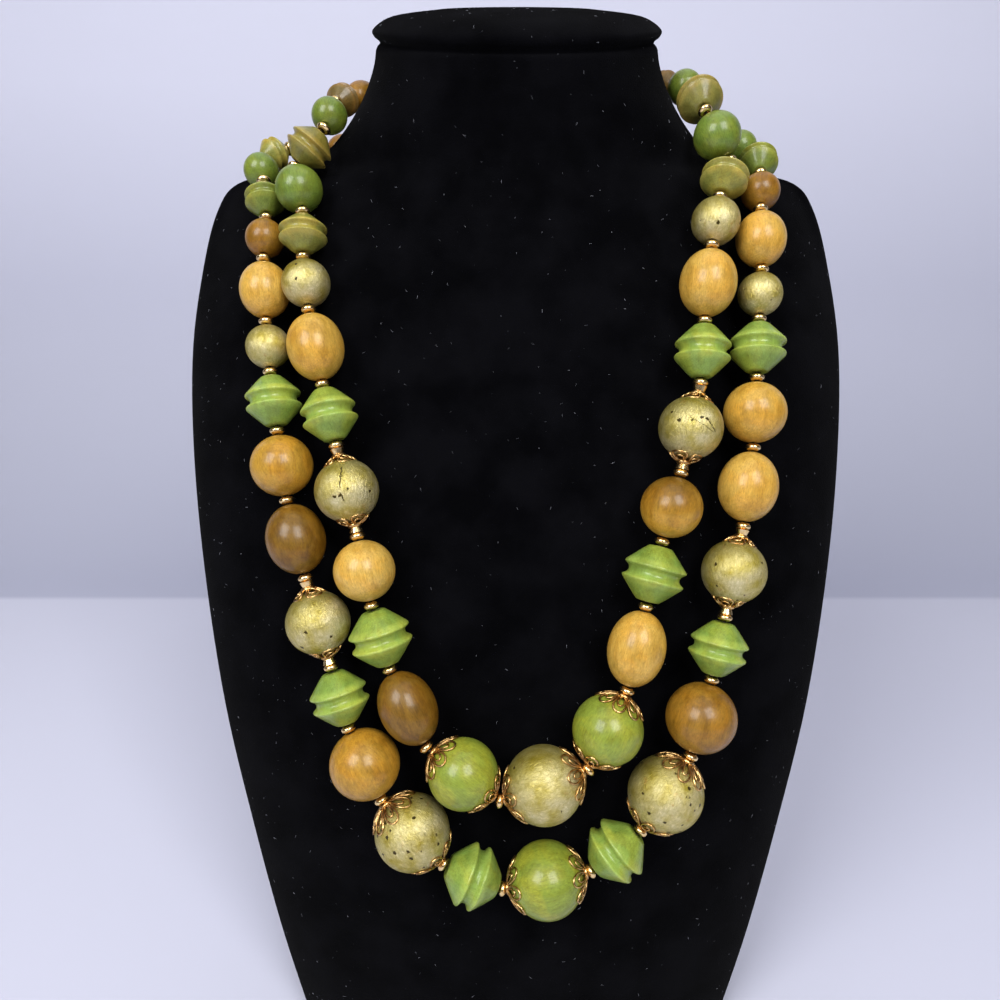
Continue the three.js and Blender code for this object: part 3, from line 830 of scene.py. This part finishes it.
for node in bead_nodes:
    place = places[node]
    form, width = "bicone", place["width"]
    if len(merged(node)[0]) != CONE_POINTS:
        form, width = "round", full_width(width, ROUND_STEPS)
    place["full"] = width
    material, slot, stain = PAINT[colour_of(node)]
    bead = turn_bead(form, width, place["length"], SPECIAL.get(node, material))
    bead.transform(standing(place["centre"], place["axis"]))
    stain = STAIN_OF.get(node, stain)
    if node == "inner_right_4_bead":
        height = np.array([v.co.z for v in bead.vertices])
        stain = np.interp(height, [height.min(), height.mean(), height.max()], [0.2, 0.5, 1.0])
    carry(bead, stain=stain, tint=CONE_TINT if form == "bicone" else 0)
    place_piece(node + "_turned", bead, slot, [node])
widest = max(place["full"] for place in places.values())
print("beads turned:", len(bead_nodes), "widest", round(widest / MM, 1), "mm")

# %% [markdown]
# ## Pierced metal caps
# A cap is stamped flat as a flower of open loops, then pressed over the bead's end. The tree keeps
# that order: it draws one loop as a bent wire with a smaller one inside, repeats both round the hub,
# and then wraps the flat flower over a ball. Distance from the hub becomes an angle on the ball.

# %% Cap tree
def loop_wire(build, hub, tip, width, wire):
    """One teardrop loop of wire, flat, pointing along x."""
    turn = build.times(build.add("GeometryNodeSplineParameter").outputs["Factor"], TURN)
    reach = build.times(build.minus(1.0, build.math("COSINE", turn)), 0.5)
    along = build.plus(hub, build.times(reach, build.minus(tip, hub)))
    swell = build.math("POWER", build.math("MAXIMUM", reach, 0.0001), 0.55)
    across = build.times(build.times(build.math("SINE", turn), swell), build.times(width, 0.66))
    bent = moved(build, circle(build, 36, 1.0), build.vector(along, across, 0.0))
    return swept(build, bent, build.times(wire, 0.5))


def cap_tree():
    """A tree for a cap of open loops, with a smaller loop inside each."""
    tree, build, given = new_shape(
        "Pierced cap", Lobes="Int", Hub="Float", Tip="Float", Width="Float", Wire="Float",
        Ball="Float", Flare="Float")
    shares = {"Hub": 1.15, "Tip": 0.76, "Width": 0.5, "Wire": 0.8}
    outer = loop_wire(build, *(given[key] for key in shares))
    inner = loop_wire(build, *(build.times(given[key], share) for key, share in shares.items()))
    row = {"Count": given["Lobes"], "Offset": (0.0, 0.0, 0.0)}
    points = build.out("GeometryNodeMeshLine", row)
    index = build.out("GeometryNodeInputIndex")
    turn = build.vector(0.0, 0.0, build.times(index, build.over(TURN, given["Lobes"])))
    flower = repeated(build, points, joined(build, outer, inner), turn)
    flower = build.out("GeometryNodeRealizeInstances", {0: flower})
    ring = swept(build, circle(build, 32, given["Hub"]), build.times(given["Wire"], 1.1))
    flat = joined(build, flower, ring)

    where = build.split(position(build))
    squares = build.plus(build.times(where[0], where[0]), build.times(where[1], where[1]))
    out = build.math("SQRT", squares)
    heading = build.math("ARCTAN2", where[1], where[0])
    bend = build.over(out, given["Ball"])
    lift = build.times(given["Flare"], build.math("POWER", build.over(out, given["Tip"]), 3.0))
    rise = build.plus(build.plus(given["Ball"], where[2]), lift)
    ground = build.times(rise, build.math("SINE", bend))
    wrapped = build.vector(
        build.times(ground, build.math("COSINE", heading)),
        build.times(ground, build.math("SINE", heading)),
        build.times(rise, build.math("COSINE", bend)))
    wrapped = moved(build, flat, wrapped)
    cap = build.out("GeometryNodeSetShadeSmooth", {0: wrapped, "Shade Smooth": True})
    close_shape(build, cap, given)
    return tree


# A petal cap's solid has more points than this, and a leaf cap's has fewer.
LEAF_CAP_POINTS = 100
PETALS = {"Lobes": 8, "Hub": 1.7 * MM, "Width": 4.1 * MM, "Wire": 0.62 * MM, "Flare": 0.3 * MM}
LEAVES = {"Lobes": 4, "Hub": 1.5 * MM, "Width": 5.2 * MM, "Wire": 0.7 * MM, "Flare": 0.2 * MM}
# How far the tip reaches, as a share of the bead's width or as a length.
PETAL_TIP, LEAF_TIP = 0.42, 5.7 * MM
# The radius that a cap bends to, as a share of the bead's, and its lift off the bead.
PETAL_BEND, PETAL_LIFT = 0.86, 0.9 * MM
LEAF_BEND, LEAF_LIFT = 0.56, 1.2 * MM
# Points that reach out this share of the farthest are the corners of a solid's lobes.
CORNER_REACH = 0.97

pierced_cap = cap_tree()
for node in sorted(n for n in nodes if "_cap_" in n):
    place = places[node.rsplit("_cap_", 1)[0] + "_bead"]
    points = merged(node)[0]
    toward = points.mean(axis=0) - place["centre"]
    axis = place["axis"] * np.sign(toward @ place["axis"])
    out = points - place["centre"]
    out -= (out @ axis)[:, None] * axis
    reach = np.linalg.norm(out, axis=1)
    corners = out[reach > CORNER_REACH * reach.max()]
    side = corners[0] / np.linalg.norm(corners[0])
    up = np.cross(axis, side)
    radius = place["full"] / 2
    if len(points) > LEAF_CAP_POINTS:
        shape, tip, bend, lift = PETALS, PETAL_TIP * place["full"], PETAL_BEND * radius, PETAL_LIFT
    else:
        shape, tip, bend, lift = LEAVES, LEAF_TIP, LEAF_BEND * radius, LEAF_LIFT
    lobes = shape["Lobes"]
    phase = np.angle(np.exp(1j * lobes * np.arctan2(corners @ up, corners @ side)).mean()) / lobes
    first_lobe = side * math.cos(phase) + up * math.sin(phase)
    cap = run_shape(pierced_cap, Tip=float(tip), Ball=float(bend), Material=antique, **shape)
    cap.transform(standing(place["centre"] + axis * (radius + lift - bend), axis, first_lobe))
    place_piece(node + "_flower", cap, "antique_metal", [node])
print("caps:", sum("_cap_" in n for n in nodes))

# %% [markdown]
# ## What lies between the beads
# A gold spacer sits between each pair of beads, small cones hold the leaf caps, and one thread runs
# through all of it. The rings of the CAD string say where each lies: a wide pair of rings is a
# spacer, a tapering pair is a cone, and a group between two hole-sized rings is a small bead.

# %% Read the strings
# The kinds of ring by radius in mm: thread, hole of a bead, narrow and wide end of a cone, spacer.
# Any other ring belongs to a small bead.
RING_KINDS = {"t": (0, 0.9), "h": (0.9, 1.15), "n": (1.15, 1.3), "w": (1.7, 1.9), "s": (2.3, 2.4)}
BEAD_RING = "b"
# Two spacer rings nearer than this are the two edges of one spacer.
SPACER_SPAN = 2 * MM


def ring_kind(radius):
    """The letter of a ring's kind."""
    size = radius / MM
    return next((kind for kind, (low, high) in RING_KINDS.items() if low <= size < high), BEAD_RING)


def sort_string(found):
    """Spacers, cones and small beads of a string, each as centre, axis and size."""
    if found[0][0][2] > found[-1][0][2]:
        found = found[::-1]
    kinds = "".join(ring_kind(radius) for _, radius in found)
    at = [centre for centre, _ in found]
    spacers, cones, small = [], [], []
    i = 0
    while i < len(kinds):
        if kinds[i:i + 2] == "ss" and np.linalg.norm(at[i + 1] - at[i]) < SPACER_SPAN:
            spacers.append(((at[i] + at[i + 1]) / 2, at[i + 1] - at[i]))
            i += 2
        elif kinds[i] == "s":
            spacers.append((at[i], at[min(i + 1, len(at) - 1)] - at[i - 1]))
            i += 1
        elif kinds[i:i + 2] in ("wn", "nw"):
            wide, narrow = (at[i], at[i + 1]) if kinds[i] == "w" else (at[i + 1], at[i])
            cones.append(((wide + narrow) / 2, narrow - wide))
            i += 2
        elif kinds[i] == "h":
            end = kinds.index("h", i + 1)
            radii = [r for _, r in found[i + 1:end]]
            form = "barrel" if len(radii) == 2 else "bicone" if radii[1] < radii[0] else "round"
            small.append({"centre": (at[i] + at[end]) / 2, "axis": at[end] - at[i], "form": form,
                          "length": np.linalg.norm(at[end] - at[i]), "width": 2 * max(radii)})
            i = end + 1
        else:
            i += 1
    return np.array(at), spacers, cones, small


sorted_strings = {name: sort_string(found) for name, found in strings.items()}
print("small beads:", {name: [b["form"] for b in found[3]] for name, found in sorted_strings.items()})

# %% [markdown]
# ## Spacers, cones and thread
# One tree sets a shape on every point of a row and turns it along that point's axis, so a whole
# string's spacers are one call. The thread is a wire drawn through the same points.

# %% Strung pieces
def strung_tree(name, shape):
    """A tree that sets one shape on each point, turned along the point's axis."""
    sizes = {"Width": "Float", "Length": "Float", "Narrow": "Float"}
    tree, build, given = new_shape(name, Points="Geometry", **sizes)
    part = shape(build, given)
    axis = build.out("GeometryNodeInputNamedAttribute", {"Name": "axis"}, data_type="FLOAT_VECTOR")
    turned = build.out("FunctionNodeAlignRotationToVector", {"Vector": axis}, axis="Z")
    close_shape(build, repeated(build, given["Points"], part, turned), given)
    return tree


def spacer_shape(build, given):
    """A rounded gold barrel, from the lathe."""
    sizes = {"Width": given["Width"], "Length": given["Length"], "Hole": given["Narrow"]}
    return build.out("GeometryNodeGroup", {**sizes, "Sides": 28, "Rows": 11}, node_tree=ball_tree)


def cone_shape(build, given):
    """A small cone that narrows along its axis."""
    bottom = build.times(given["Width"], 0.5)
    sizes = {"Radius Top": given["Narrow"], "Radius Bottom": bottom, "Depth": given["Length"]}
    cone = build.out("GeometryNodeMeshCone", {"Vertices": 28, **sizes})
    drop = build.vector(0.0, 0.0, build.times(given["Length"], -0.5))
    return build.out("GeometryNodeTransform", {"Geometry": cone, "Translation": drop})


def row_mesh(rows):
    """Points with an axis each."""
    mesh = bpy.data.meshes.new("row")
    mesh.from_pydata([tuple(c) for c, _ in rows], [], [])
    layer = mesh.attributes.new("axis", "FLOAT_VECTOR", "POINT")
    axes = np.array([a / np.linalg.norm(a) for _, a in rows], "f")
    layer.data.foreach_set("vector", axes.ravel())
    return mesh


def thread_tree():
    """A tree that runs a wire through a chain of points."""
    tree, build, given = new_shape("Thread", Points="Geometry", Radius="Float")
    curve = build.out("GeometryNodeMeshToCurve", {0: given["Points"]})
    close_shape(build, swept(build, curve, given["Radius"], caps=True), given)
    return tree


SPACER = {"Width": 4.7 * MM, "Length": 2.5 * MM, "Narrow": 0.9 * MM}
SMALL_CONE = {"Width": 4.3 * MM, "Length": 2.2 * MM, "Narrow": 1.35 * MM}
THREAD_RADIUS = 0.45 * MM

spacer_tree = strung_tree("Spacers along a string", spacer_shape)
small_cone_tree = strung_tree("Cones along a string", cone_shape)
thread_shape = thread_tree()

for name, (path, spacers, cones, small) in sorted_strings.items():
    row = run_shape(spacer_tree, row_mesh(spacers), Material=gold, **SPACER)
    place_piece(name + "_spacers", row, "gold", [name])
    row = run_shape(small_cone_tree, row_mesh(cones), Material=gold, **SMALL_CONE)
    place_piece(name + "_cones", row, "antique_metal")
    chain = bpy.data.meshes.new("chain")
    chain.from_pydata([tuple(p) for p in path], [(i, i + 1) for i in range(len(path) - 1)], [])
    thread = run_shape(thread_shape, chain, Radius=THREAD_RADIUS, Material=cord)
    place_piece(name + "_thread", thread, "strung_small_beads")
print("strung:", sum(len(s[1]) for s in sorted_strings.values()), "spacers")

# %% [markdown]
# ## The small upper beads
# Toward the nape the beads shrink and their colours dull. The hidden ones behind the neck are plain
# brown barrels.

# %% Upper beads
# Colour and green tint of each bead, from the chest up to the neck.
UPPER = {
    "inner": [("green", 0.75), ("green", 0.5), ("green", 0.85), ("green", 0.55), ("green", 1.0)],
    "outer": [("pearl", 0), ("honey", 0), ("brown", 0), ("green", 0.6), ("green", 0.5), ("green", 0.75)],
}
HIDDEN = ("brown", 0)
# A barrel's outline has this many steps in its solid.
BARREL_STEPS = 3

for name, (path, spacers, cones, small) in sorted_strings.items():
    paints = UPPER[name.split("_")[0]]
    for i, bead in enumerate(small):
        colour, tint = paints[i] if i < len(paints) else HIDDEN
        material, _, stain = PAINT[colour]
        form, width = bead["form"], bead["width"]
        if form == "barrel":
            width = full_width(width, BARREL_STEPS)
        mesh = turn_bead(form, width, bead["length"], material)
        mesh.transform(standing(bead["centre"], bead["axis"]))
        carry(mesh, stain=stain, tint=tint)
        place_piece(f"{name.removesuffix('_string')}_upper_{i + 1}", mesh, "strung_small_beads")
print("small beads:", sum(len(s[3]) for s in sorted_strings.values()))

# %% [markdown]
# ## The velvet bust
# The CAD bust is a skin over level rings. A smooth surface through the same rings keeps its size and
# loses its facets. Velvet is stretched over a foam body, and a seam runs round under the top pad.

# %% Bust
# Steps of the smooth skin between two rings, or between two points of a ring.
FINE = 6
# The seam lies at this ring, as a groove under a swollen rim.
SEAM_RING = 15
RIM, GROOVE = 0.9 * MM, 1.5 * MM


def even_ring(ring, start):
    """A ring's points in order round its middle, beginning as close to a start ring as they can."""
    turned = (ring - ring.mean(axis=0))[:, 1::-1].T
    loop = ring[np.argsort(np.arctan2(*turned))]
    if start is not None:
        shifts = [np.linalg.norm(np.roll(loop, -k, axis=0) - start, axis=1).sum() for k in range(len(loop))]
        loop = np.roll(loop, -int(np.argmin(shifts)), axis=0)
    return loop


def smooth_row(rows, closed):
    """Cubic interpolation through rows of points, evenly in between, with the rows kept."""
    chain = [rows[-1], *rows, rows[0], rows[1]] if closed else [rows[0], *rows, rows[-1]]
    made = []
    for before, first, second, after in zip(chain, chain[1:], chain[2:], chain[3:]):
        a, b = 0.5 * (second - before), 0.5 * (after - first)
        for t in np.arange(FINE) / FINE:
            made.append((2 * t**3 - 3 * t**2 + 1) * first + (t**3 - 2 * t**2 + t) * a +
                        (3 * t**2 - 2 * t**3) * second + (t**3 - t**2) * b)
    return np.array(made if closed else [*made, rows[-1]])


loops = []
for ring in walk_rings("display_bust", BUST_SIDES):
    loops.append(even_ring(ring, loops[-1] if loops else None))
loops = np.array(loops)
if loops[0, :, 2].mean() > loops[-1, :, 2].mean():
    loops = loops[::-1]
print("ring heights:", (loops[:, :, 2].mean(axis=1) / MM).round(1).tolist())
around = np.array([smooth_row(loop, True) for loop in loops])
skin = smooth_row(around, False)
along = np.arange(len(skin)) / FINE - SEAM_RING
rim = RIM * np.exp(-((along - 0.9) / 0.55) ** 2)
groove = GROOVE * np.exp(-((along - 0.05) / 0.2) ** 2)
level = skin.mean(axis=1, keepdims=True)
out = (skin - level) * [1, 1, 0]
out /= np.maximum(np.linalg.norm(out, axis=2, keepdims=True), 1e-6)
skin = skin + out * (rim - groove)[:, None, None]
print("bust grid:", skin.shape)


def grid_mesh(name, grid):
    """A closed skin over loops of points, with a fan at each end."""
    rows, sides = grid.shape[:2]
    verts = [tuple(p) for p in grid.reshape(-1, 3)]
    here = np.arange(rows * sides).reshape(rows, sides)
    beside = np.roll(here, -1, axis=1)
    faces = np.stack([here[:-1], beside[:-1], beside[1:], here[1:]], axis=-1).reshape(-1, 4).tolist()
    for row, order in ((0, -1), (rows - 1, 1)):
        verts.append(tuple(grid[row].mean(axis=0)))
        edge = here[row, ::order].tolist()
        faces += [(a, b, len(verts) - 1) for a, b in zip(edge, edge[1:] + edge[:1])]
    mesh = bpy.data.meshes.new(name)
    mesh.from_pydata(verts, [], faces)
    mesh.shade_smooth()
    return mesh


bust = grid_mesh("bust", skin)
bust.materials.append(velvet)
place_piece("velvet_bust", bust, "velvet", ["display_bust"])

# %% [markdown]
# ## Lint on the velvet
# Black velvet picks up every pale fibre. The tree scatters points over the bust with a fixed seed,
# sets a short bent fibre on each, lays it flat against the cloth, and varies its turn and length.

# %% Lint
FIBRE = {
    "Resolution": 3, "Start": (-0.5, 0.0, 0.05), "Start Handle": (-0.2, 0.3, 0.15),
    "End Handle": (0.2, -0.2, 0.15), "End": (0.5, 0.1, 0.05),
}


def enabled(sockets):
    """The sockets that a node uses at its present setting."""
    return [s for s in sockets if s.enabled]


def lint_tree():
    """A tree that scatters short fibres over a surface."""
    tree, build, given = new_shape(
        "Lint on velvet", Cloth="Geometry", Density="Float", Length="Float", Thickness="Float")
    upward = build.split(build.out("GeometryNodeInputNormal"))[2]
    height = build.split(position(build))[2]
    off_ground = build.math("GREATER_THAN", height, given["Length"])
    not_under = build.times(off_ground, build.math("GREATER_THAN", upward, -0.9))
    spots = build.add("GeometryNodeDistributePointsOnFaces", {
        "Mesh": given["Cloth"], "Selection": not_under, "Density": given["Density"], "Seed": 7}).outputs
    fibre = build.out("GeometryNodeCurvePrimitiveBezierSegment", FIBRE)
    curl = build.times(given["Length"], 0.3)
    wire = swept(build, fibre, build.over(given["Thickness"], curl), sides=3, caps=True)
    spin = build.add("FunctionNodeRandomValue", {"Min": 0.0, "Max": TURN, "Seed": 3}, data_type="FLOAT")
    about = {"Axis": (0.0, 0.0, 1.0), "Angle": enabled(spin.outputs)[0]}
    turn = build.out("FunctionNodeAxisAngleToRotation", about)
    both = {0: spots["Rotation"], 1: turn}
    laid = build.out("FunctionNodeRotateRotation", both, rotation_space="LOCAL")
    size = build.add("FunctionNodeRandomValue", {"Seed": 5}, data_type="FLOAT")
    least, most = [s for s in enabled(size.inputs) if s.name in ("Min", "Max")]
    least.default_value, most.default_value = 0.3, 1.0
    share = build.math("POWER", enabled(size.outputs)[0], 3.0)
    stretch = build.vector(build.times(share, given["Length"]), curl, curl)
    close_shape(build, repeated(build, spots[0], wire, laid, Scale=stretch), given)
    return tree


lint = run_shape(lint_tree(), bust.copy(), Density=14000.0, Length=1.1 * MM, Thickness=0.042 * MM,
                 Material=fluff)
place_piece("velvet_lint", lint, "velvet")
print("lint faces:", len(lint.polygons))

# %% [markdown]
# ## The clasp
# The photograph hides the clasp, so the CAD plate at the nape stays and is only polished.

# %% Clasp
nodes["clasp"].material_slots[0].material = gold
print("clasp painted")

# %% [markdown]
# ## Finish
# The sizes go to a small file.

# %% Sizes and end
with open("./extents.json", "w") as out_file:
    json.dump({"cad": [list(c) for c in cad_box], "visual": [list(c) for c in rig.bounds()]}, out_file)
print(json.load(open("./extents.json")))
